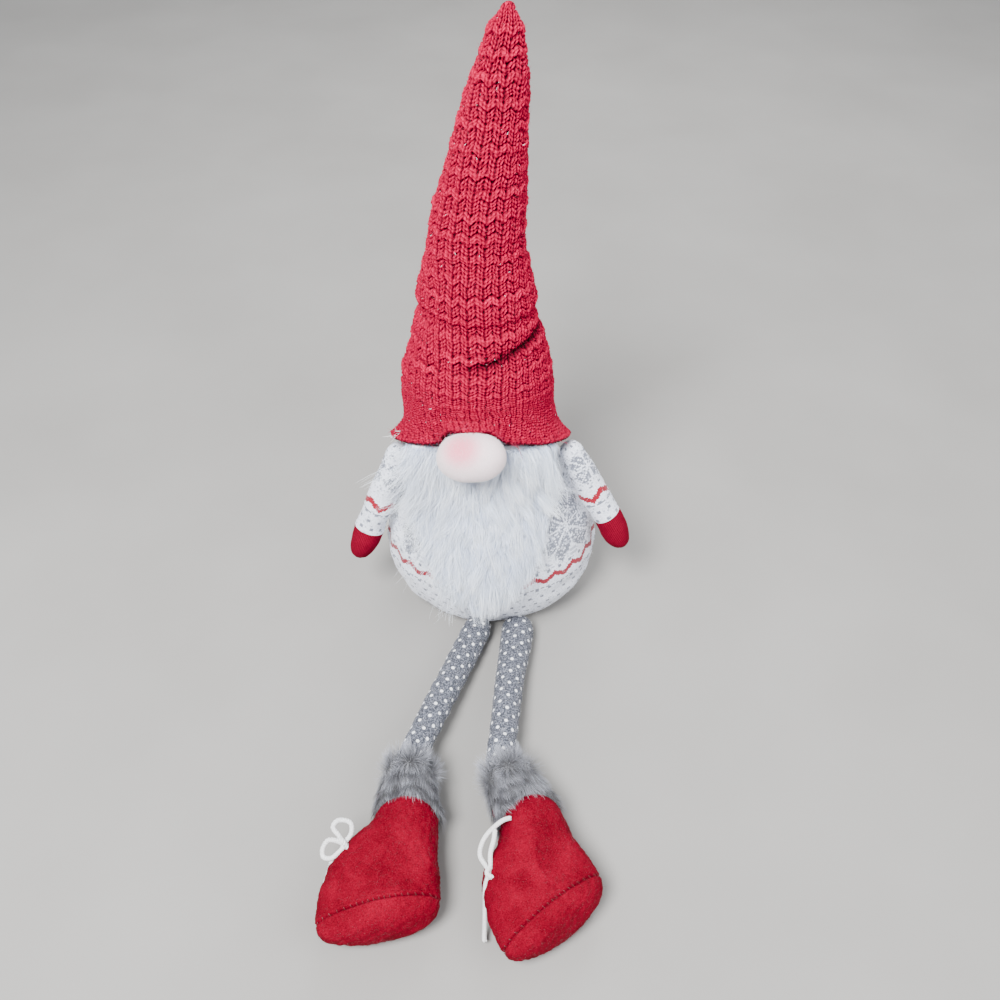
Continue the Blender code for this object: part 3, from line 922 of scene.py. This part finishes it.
def beard_under_coat(cloth):
    """A soft closed form under the strands, so that the cloth behind doesn't show through them."""
    low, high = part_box("beard_pile")
    tree, back_tree = surface_of("beard_pile"), surface_of("beard_backing")
    columns, rows = 36, 40
    ahead = Vector((0, 1, 0))
    front, back = np.zeros((rows, columns, 3)), np.zeros((rows, columns, 3))
    for r, z in enumerate(np.linspace(low.z + 13 * MM, high.z - 1 * MM, rows)):
        hits = [tree.ray_cast(Vector((x, -0.4, z)), ahead)[0] for x in np.linspace(low.x, high.x, 241)]
        xs = [h.x for h in hits if h is not None]
        inset = 1.5 * MM + 5 * MM * (1 - smooth_step(r / 14))
        for c, x in enumerate(np.linspace(min(xs) + inset, max(xs) - inset, columns)):
            close = tree.ray_cast(Vector((x, -0.4, z)), ahead)[0]
            far = back_tree.ray_cast(Vector((x, -0.4, z)), ahead)[0]
            far_y = far.y if far is not None else close.y + 2 * MM
            share = math.sin(math.pi * c / (columns - 1)) ** 0.5
            front[r, c] = (x, far_y - 1.5 * MM - (far_y - close.y) * 0.34 * share, z)
            back[r, c] = (x, far_y + 0.2 * MM, z)
    rings = np.concatenate([front, back[:, ::-1]], axis=1)
    return tube_object("beard_under_coat", rings, cloth, start_cap=True, end_cap=True)


def beard_layer(name, roots, length, width, spread, strand, seed, sweep=0.18):
    """Long strands that stand out from their roots, turn down and gather loosely into locks.

    length and width are ranges in millimetres. sweep leans the strands on the gnome's right out to the side.
    """
    rng = np.random.default_rng(seed)
    low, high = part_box("beard_backing")
    middle = (low.x + high.x) / 2
    count = len(roots)
    side = (roots[:, 0] - middle) / ((high.x - low.x) / 2)
    drop = np.clip((high.z - roots[:, 2]) / (high.z - low.z), -0.1, 1)
    locks = roots[rng.integers(0, count, BEARD_LOCKS)]
    near = np.array([np.argmin(((locks - r) ** 2).sum(axis=1)) for r in roots])
    lock_way = rng.normal(size=(BEARD_LOCKS, 3)) * [0.34, 0.20, 0.20]
    lock_way[:, 0] += 0.16 * wobble(locks, 34 * MM, 47)
    way = lock_way[near] + rng.normal(size=roots.shape) * spread
    rise = 0.55 * np.clip(1 - drop * 5, 0, 1) * (1 - np.clip(np.abs(side), 0, 1))
    start = np.stack([side * 0.45, np.full(count, -0.85), rise - 0.25 - 0.5 * drop], -1) + way * 0.8
    rightward = np.clip(-side, 0, 1) * sweep
    inward = -side * 0.50 * drop - rightward * (1 - 0.5 * drop)
    end = np.stack([inward, 0.02 - 0.05 * drop, np.full(count, -1.0)], -1)
    start, end = unit(start), unit(end + way)
    t = np.linspace(0, 1, 8)
    bend = smooth_step(t * 2.0)[None, :, None]
    tangent = unit(start[:, None] * (1 - bend) + end[:, None] * bend)
    size = rng.uniform(*length, count) * MM * (1 - 0.55 * np.clip(drop, 0, 1) ** 1.5) * (1 - 0.2 * side**2)
    steps = tangent[:, :-1] * (size / 7)[:, None, None]
    lines = np.concatenate([np.zeros((count, 1, 3)), np.cumsum(steps, axis=1)], axis=1) + roots[:, None]
    used = [near == k for k in range(BEARD_LOCKS)]
    lock_line = np.array([lines[mine].mean(axis=0) if mine.any() else lines[0] for mine in used])
    pull = 0.55 * (t**1.6)[None, :, None]
    lines = lines * (1 - pull) + lock_line[near] * pull
    lines = kept_in_front(lines, surface_of("body_cover"), 1.5 * MM)
    facing = np.stack([side * 0.6, -np.ones(count), np.full(count, 0.5)], -1)
    facing = facing + rng.normal(size=roots.shape) * 0.5
    widths = rng.uniform(*width, count) * MM
    # Darker blue-grey locks, chosen at random, are painted shade between the clumps.
    shade = 0.4 * rng.uniform(0, 1, count) + 0.6 * rng.uniform(0, 1, BEARD_LOCKS)[near]
    furry = ribbons(name, lines, widths, unit(facing), strand, shade)
    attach(furry, "torso")
    return furry


def make_beard_top(strand):
    """Strands rooted under the brim, on both sides of the nose, that close the gap between hat and beard."""
    rng = np.random.default_rng(44)
    low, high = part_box("beard_backing")
    nose_low, nose_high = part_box("nose_cover")
    middle, half = (low.x + high.x) / 2, (high.x - low.x) / 2 - 1 * MM
    x = rng.uniform(-1, 1, 5200) * half + middle
    x = x[(x < nose_low.x + 9 * MM) | (x > nose_high.x - 9 * MM)]
    share = (x - middle) / half
    z = rng.uniform(-9 * MM, 5 * MM, len(x)) + high.z - 9 * MM * share**2
    roots = np.stack([x, -33 * MM + 22 * MM * share**2, z], -1)
    beard_layer("beard_top_fur", roots, (20, 32), (0.15, 0.28), 0.12, strand, 45)


def make_beard(strand, backing):
    """A dense coat, longer loose strands over it, and wisps that fly off at the gnome's right edge."""
    rng = np.random.default_rng(41)
    under = beard_under_coat(backing)
    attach(under, "torso")
    low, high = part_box("beard_pile")
    roots = roots_on(tree_of([under.data]), low, high, rng, BEARD_STRANDS)
    drop = (high.z - roots[:, 2]) / (high.z - low.z)
    roots = roots[rng.uniform(0, 1, len(roots)) > 0.7 * smooth_step((drop - 0.62) / 0.38)]
    dense = beard_layer("beard_fur", roots, (22, 34), (0.22, 0.36), 0.09, strand, 42)
    beard_layer("beard_long_fur", roots[::2], (28, 43), (0.13, 0.22), 0.16, strand, 43)
    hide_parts("beard_pile", "beard_backing")
    right_edge = roots[roots[:, 0] < (low.x * 0.62 + high.x * 0.38)][:520]
    beard_layer("beard_wisps", right_edge, (45, 68), (0.13, 0.20), 0.30, strand, 46, sweep=0.95)
    make_beard_top(strand)


# --- arms and legs ---


def limb_axes(start, end):
    direction = unit(end - start)
    across = unit(np.cross(direction, Y if abs(direction[1]) < 0.8 else Z))
    return direction, across, np.cross(direction, across)


def limb_grid(nodes, start, end, reach):
    """Rings along a limb from one share of its length to another, closer together at the rounded ends."""
    _, across, along = limb_axes(start, end)
    stations = 30
    shares = reach[0] + (reach[1] - reach[0]) * (1 - np.cos(np.linspace(0, math.pi, stations))) / 2
    centres = [start + (end - start) * s for s in shares]
    return wrapped(surface_of(*nodes), centres, [across] * stations, [along] * stations, 32)


def farthest_point(node, origin):
    points = np.array([v.co for v in frame["nodes"][node].data.vertices])
    return points[np.argmax(((points - origin) ** 2).sum(axis=1))]


def make_arm(side, knit, mitten_knit, fibre):
    start = joint_point(side + "_shoulder")
    tip = farthest_point(side + "_mitten", start)
    direction = unit(tip - start)
    tip = start + direction * float((tip - start) @ direction)
    nodes = (side + "_sleeve", side + "_mitten")
    coarse = limb_grid(nodes, start, tip, (-0.062, 0.994))
    coarse = puffed(coarse, 1.5, 1.2 * MM)
    shares = ((coarse.mean(axis=1) - start) @ direction) / np.linalg.norm(tip - start)
    wrist = int(np.searchsorted(shares, WRIST_SHARE[side]))
    sleeve, fine = knitted(side + "_sleeve_knit", coarse[: wrist + 1], SLEEVE_STITCH, knit, sleeve_chart)
    hand = coarse[wrist:] - grid_normals(coarse)[wrist:] * 0.3 * MM
    mitten = knitted(side + "_mitten_knit", hand, MITTEN_STITCH, mitten_knit, relief=0.5 * MM)[0]
    hair = fuzz(side + "_arm_fuzz", fine, 600, 1.6 * MM, 0.11 * MM, fibre, 51)
    stand_in(sleeve, "body_knit", side + "_sleeve", side + "_arm_filling")
    stand_in(mitten, "mitten_knit", side + "_mitten")
    for piece in (sleeve, hair):
        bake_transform(piece)
    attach(mitten, side + "_arm")


def leg_dots(grid):
    """1 in the middle of each white dot, 0.5 at its edge."""
    u, v = lengths_on(grid)
    row = np.round(v / (LEG_DOT_PITCH * 0.5))
    shift = (row % 2) * LEG_DOT_PITCH * 0.5
    across = (u + shift + LEG_DOT_PITCH / 2) % LEG_DOT_PITCH - LEG_DOT_PITCH / 2
    up = v - row * LEG_DOT_PITCH * 0.5
    away = np.hypot(across, up)
    return np.clip(0.5 + (LEG_DOT_RADIUS - away) / (1.2 * MM), 0, 1)


def make_leg(side, jersey, fibre):
    start, end = joint_point(side + "_hip"), joint_point(side + "_ankle")
    direction, across, _ = limb_axes(start, end)
    coarse = puffed(limb_grid((side + "_leg_cover",), start, end, (-0.078, 1.07)), 1.5, 0.8 * MM)
    coarse = np.concatenate([coarse[:9] - direction * 9 * MM, coarse[9:]])
    middle = coarse.mean(axis=1, keepdims=True)
    near_body = 1 - smooth_step(((middle - start) @ direction) / (45 * MM))
    wider = ((coarse - middle) @ across) * LEG_ROOT_WIDER[side] * near_body
    coarse = coarse + wider[..., None] * across
    coarse = coarse + X * LEG_ROOT_SHIFT[side] * near_body[..., None]
    grid = refined(coarse, 260, 120)
    u = lengths_on(grid)[0]
    folds = 0.16 * MM * wobble(grid, 14 * MM, 61 + len(side))
    folds = folds + 0.3 * MM * wobble(grid * [1, 2.5, 1], 30 * MM, 63)
    ribs = 0.10 * MM * np.cos(2 * math.pi * u / (1.2 * MM))
    fine = grid + grid_normals(grid) * (folds + ribs)[..., None]
    fine[..., 2] = np.maximum(fine[..., 2], FLOOR_GAP)
    leg = tube_object(side + "_leg_jersey", fine, jersey, start_cap=True, end_cap=True)
    set_values(leg, "dot", leg_dots(grid))
    hair = fuzz(side + "_leg_fuzz", fine, 1200, 1.6 * MM, 0.10 * MM, fibre, 64)
    stand_in(leg, "leg_knit", side + "_leg_cover", side + "_leg_filling")
    for piece in (leg, hair):
        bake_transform(piece)


# --- boots ---


def boot_axes(side):
    """Down the shaft, towards the toe, and up from the floor."""
    down = -unit(JOINTS[side + "_ankle"]["axis"])
    return down, unit(np.cross(down, Z)), Z


def boot_rings(side):
    """Rings from inside the fur cuff to the edge of the sole, fuller over the instep."""
    down, toe, across = boot_axes(side)
    start = joint_point(side + "_ankle")
    distances = np.linspace(*BOOT_REACH, 22)
    lengthways = []
    centres = []
    for d in distances:
        share = smooth_step((d - 0.052) / 0.055)
        tilt = SOLE_TILT * share
        lengthways.append(toe * math.cos(tilt) + down * math.sin(tilt))
        centres.append(start + down * d + toe * (0.001 + 0.0125 * share))
    nodes = [f"{side}_boot_{n}_panel" for n in ("outer", "inner")]
    rings = wrapped(surface_of(*nodes), centres, lengthways, [across] * len(centres))
    ahead = (rings - rings.mean(axis=1, keepdims=True)) @ toe
    ahead = np.clip(ahead / ahead.max(axis=1, keepdims=True), 0, 1)
    fuller = INSTEP_FULLNESS * bump_at(distances, 0.066, 0.014)[:, None] * ahead**1.5
    rings = rings + fuller[..., None] * toe
    collar = [rings[0] + (rings[0].mean(axis=0) - rings[0]) * 0.08 - down * rise * MM for rise in (15, 8)]
    return np.concatenate([collar, rings])


def sole_rings(side, rim):
    """The domed sole, as rings inwards from the boot's lower edge."""
    down, toe, _ = boot_axes(side)
    outward = down * math.cos(SOLE_TILT) - toe * math.sin(SOLE_TILT)
    middle = rim.mean(axis=0)
    profile = ((0.975, 1.9), (0.92, 4.2), (0.81, 6.6), (0.64, 8.6), (0.42, 10.0), (0.20, 10.6), (0.04, 10.8))
    return np.array([middle + (rim - middle) * share + outward * height * MM for share, height in profile])


def boot_relief(grid, seam_row):
    """How far the felt stands out: seams down the toe and heel and round the sole, and its uneven filling."""
    columns = grid.shape[1]
    v = lengths_on(grid)[1]
    from_sole = v - v[seam_row, 0]
    turn = np.abs((np.arange(columns) / columns + 0.25) % 0.5 - 0.25) * 2 * math.pi
    from_side = turn[None] * np.linalg.norm(grid - grid.mean(axis=1, keepdims=True), axis=2)
    side_seam = 0.8 * MM * bump_at(from_side, 1.6 * MM, 1.0 * MM)
    side_seam = side_seam - 1.2 * MM * bump_at(from_side, 0.0, 0.6 * MM)
    sole_seam = 0.5 * MM * bump_at(np.abs(from_sole), 1.8 * MM, 1.0 * MM)
    sole_seam = sole_seam - 1.3 * MM * bump_at(from_sole, 0.0, 0.7 * MM)
    lumps = 0.7 * MM * wobble(grid, 34 * MM, 71) + 0.20 * MM * wobble(grid, 5 * MM, 72)
    lumps = lumps + 0.12 * MM * wobble(grid, 1.8 * MM, 73)
    return side_seam * smooth_step(-from_sole / (3 * MM)) + sole_seam + lumps


def boot_stitches(side, fine, normals, seam_row, thread):
    """Stitches across the sole's seam all the way round, and down the toe and heel seams."""
    columns = fine.shape[1]
    pairs = []
    for c in range(0, columns, 7):
        pairs.append((fine[seam_row - 2, c], fine[seam_row + 2, (c + 2) % columns], normals[seam_row, c]))
    for c in (0, columns // 2):
        for r in range(45, seam_row - 8, 9):
            pairs.append((fine[r, (c - 3) % columns], fine[r + 2, (c + 3) % columns], normals[r, c]))
    marks = [np.array([a, (a + b) / 2 + normal * 0.4 * MM, b]) for a, b, normal in pairs]
    return cords(side + "_boot_stitches", marks, 0.28 * MM, thread, 5)


def make_boot(side, felt, thread, felt_fibre):
    shaft = boot_rings(side)
    coarse = puffed(np.concatenate([shaft, sole_rings(side, shaft[-1])]), 4.0, 4 * MM)
    along = lengths_on(coarse)[1][:, 0]
    rows, columns = 250, 300
    grid = refined(coarse, rows, columns)
    seam_row = int(round((along[len(shaft) - 1] - 3.5 * MM) / along[-1] * (rows - 1)))
    normals = grid_normals(grid)
    fine = grid + normals * boot_relief(grid, seam_row)[..., None]
    fine[..., 2] = np.maximum(fine[..., 2], 0.3 * MM)
    upper = tube_object(side + "_boot_felt", fine[: seam_row + 1], felt, start_cap=True, end_cap=True)
    sole = tube_object(side + "_sole_felt", fine[seam_row:], felt, start_cap=True, end_cap=True)
    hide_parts(*[f"{side}_boot_{n}" for n in ("outer_panel", "inner_panel", "filling")])
    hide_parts(side + "_boot_sole")
    marks = boot_stitches(side, fine, normals, seam_row, thread)
    standing = fuzz(side + "_felt_fuzz", fine, 3000, 1.5 * MM, 0.09 * MM, felt_fibre, 76)
    lying = fuzz(side + "_felt_fibres", fine, 3000, 3.0 * MM, 0.10 * MM, felt_fibre, 77, lift=0.10)
    for piece in (upper, sole, marks, standing, lying):
        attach(piece, side + "_boot")


def cuff_reach(turns):
    """How far down the boot the fur goes. Its lower edge is higher on top of the boot."""
    return CUFF_LENGTH * (1 - CUFF_RAISED * np.clip(np.sin(turns), 0, 1))


def cuff_band(side, backing):
    """The closed cloth band that the fur is rooted on."""
    down, toe, across = boot_axes(side)
    top = joint_point(side + "_ankle") + down * CUFF_START
    turns = 2 * math.pi * np.arange(40) / 40
    ring = toe * np.cos(turns)[:, None] + across * np.sin(turns)[:, None]
    edge = cuff_reach(turns)[:, None] * down
    rows = [top + edge * place + ring * (r - 0.5 * MM + 1.8 * MM * place) for place, r in zip(*CUFF_PROFILE)]
    rows.append(rows[-1] + down * 1.5 * MM - ring * 3 * MM)
    band = np.array(rows)
    band[..., 2] = np.maximum(band[..., 2], FLOOR_GAP)
    return tube_object(side + "_cuff_backing", refined(band, 40, 80), backing, end_cap=True)


def make_cuff(side, strand, backing):
    """Fur round the ankle. Its hair turns up at the leg and down over the boot."""
    down, toe, across = boot_axes(side)
    top = joint_point(side + "_ankle") + down * CUFF_START
    rng = np.random.default_rng(80 + len(side))
    turns = rng.uniform(0, 2 * math.pi, CUFF_STRANDS)
    place = rng.uniform(0, 1, CUFF_STRANDS)
    radial = toe * np.cos(turns)[:, None] + across * np.sin(turns)[:, None]
    radius = np.interp(place, *CUFF_PROFILE) + 1.6 * MM * place
    roots = top + down * (cuff_reach(turns) * place)[:, None] + radial * radius[:, None]
    tuft = np.stack([np.sin(turns * 6 + 9 * place), np.cos(turns * 5 - 11 * place), np.sin(turns * 9)], -1)
    forward = (1.75 * smooth_step(place / 0.5) - 0.85)[:, None] * down
    way = unit(radial * 0.62 + forward + tuft * 0.36 + rng.normal(size=roots.shape) * 0.22)
    droop = unit(radial * 0.10 + forward * 1.5 - Z * 0.10 + tuft * 0.35)
    length = rng.uniform(6.5, 13.0, CUFF_STRANDS) * (1 - 0.30 * place) * MM
    t = np.linspace(0, 1, 6)[None, :, None]
    curve = way[:, None] * t + (droop - way)[:, None] * t * t * 0.55
    lines = roots[:, None] + length[:, None, None] * curve
    widths = rng.uniform(0.13, 0.25, CUFF_STRANDS) * MM
    # The strands get darker, in blotches, towards the cuff's lower edge.
    patches = np.clip(0.55 + 1.0 * wobble(roots, 11 * MM, 81), 0, 1)
    shade = 1.0 - 0.85 * patches * smooth_step(place * 1.5) + rng.uniform(-0.15, 0.1, CUFF_STRANDS)
    facing = unit(radial + rng.normal(size=roots.shape) * 0.4)
    furry = ribbons(side + "_cuff_fur", lines, widths, facing, strand, np.clip(shade, 0, 1))
    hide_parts(side + "_fur_cuff")
    for piece in (furry, cuff_band(side, backing)):
        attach(piece, side + "_boot")


def make_laces(side, cotton):
    """Braided cord: three strands wound round each line of the bow."""
    down, toe, across = boot_axes(side)
    start = joint_point(side + "_ankle")
    lines = []
    for path in LACE_LINES[side]:
        points = np.array([start + (down * d + toe * f + across * h) * MM for d, f, h in path])
        centre = resampled(points, np.linspace(0, len(points) - 1, 22 * len(points)), closed=False)
        centre[:, 2] = np.maximum(centre[:, 2], CORD_RADIUS + 0.3 * MM)
        tangent = unit(np.gradient(centre, axis=0))
        a = unit(np.cross(tangent, Z + 0.01 * X))
        b = np.cross(tangent, a)
        along = np.concatenate([[0], np.cumsum(np.linalg.norm(np.diff(centre, axis=0), axis=1))])
        for strand in range(3):
            angle = 2 * math.pi * (along / CORD_TWIST + strand / 3)
            wound = a * np.cos(angle)[:, None] + b * np.sin(angle)[:, None]
            lines.append(centre + wound * CORD_RADIUS * 0.52)
    cord = cords(side + "_lace_cord", lines, CORD_RADIUS * 0.50, cotton, 7)
    stand_in(cord, "cord", side + "_lace")
    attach(cord, side + "_boot")


# --- stage ---


def area_light(name, place, target, size, power):
    light = bpy.data.lights.new(name, "AREA")
    light.shape = "DISK"
    light.size = size
    light.energy = power
    obj = bpy.data.objects.new(name, light)
    obj.location = place
    obj.rotation_euler = (Vector(target) - Vector(place)).to_track_quat("-Z", "Y").to_euler()
    bpy.context.scene.collection.objects.link(obj)


def make_stage():
    look = Look("floor", 0.9)
    look.colour(look.ramp(look.noise(6, 4), (0.3, (0.27, 0.262, 0.25)), (0.7, (0.30, 0.292, 0.28))))
    floor = new_mesh("floor", [(-4, -4, 0), (4, -4, 0), (4, 4, 0), (-4, 4, 0)], [(0, 1, 2, 3)], look.material)
    middle = (0, -0.08, 0.12)
    area_light("key", (-0.40, -0.80, 1.35), middle, 0.55, 64)
    area_light("fill", (0.9, -0.6, 0.9), middle, 1.2, 12)
    area_light("back", (0.2, 1.1, 1.1), middle, 0.9, 16)
    world = bpy.data.worlds.new("studio")
    world.use_nodes = True
    sky = world.node_tree.nodes["Background"]
    sky.inputs["Color"].default_value = (0.92, 0.95, 1.0, 1)
    sky.inputs["Strength"].default_value = 0.85
    bpy.context.scene.world = world


def make_camera():
    """45 degrees down from in front, at the distance that frames the whole gnome."""
    camera = bpy.data.cameras.new("camera")
    camera.sensor_width = 36
    camera.lens = 36
    camera.clip_start = 0.01
    obj = bpy.data.objects.new("camera", camera)
    obj.location = (0.0067, -0.517, 0.61)
    obj.rotation_euler = (math.radians(45), 0, 0)
    bpy.context.scene.collection.objects.link(obj)
    bpy.context.scene.camera = obj


def main():
    white_fibre, red_fibre, felt_fibre, beard_fur, cuff_fur = make_furs()
    beard_cloth = plain_cloth("beard_ground", (0.74, 0.78, 0.88), (0.88, 0.91, 0.98))
    cuff_cloth = plain_cloth("cuff_ground", (0.03, 0.03, 0.032), (0.10, 0.10, 0.11))
    base_cloth = plain_cloth("base_cloth", (0.5, 0.51, 0.56), (0.68, 0.69, 0.74))
    red_thread = plain_cloth("red_thread", (0.07, 0.0, 0.003), (0.15, 0.001, 0.01))
    pale_thread = plain_cloth("pale_thread", (0.5, 0.51, 0.54), (0.7, 0.71, 0.75))
    cotton = plain_cloth("cotton_cord", (0.60, 0.60, 0.60), (0.86, 0.86, 0.86), 1200)
    knit = jacquard()
    mitten_knit = red_knit()
    jersey = leg_jersey()
    felt = red_felt()
    make_hat(hat_wool(), red_fibre, white_fibre)
    make_body(knit, base_cloth, pale_thread, white_fibre)
    make_nose(nose_jersey(), white_fibre)
    make_beard(beard_fur, beard_cloth)
    for side in SIDES:
        make_arm(side, knit, mitten_knit, white_fibre)
        make_leg(side, jersey, white_fibre)
        make_boot(side, felt, red_thread, felt_fibre)
        make_cuff(side, cuff_fur, cuff_cloth)
        make_laces(side, cotton)
    make_stage()
    make_camera()


main()
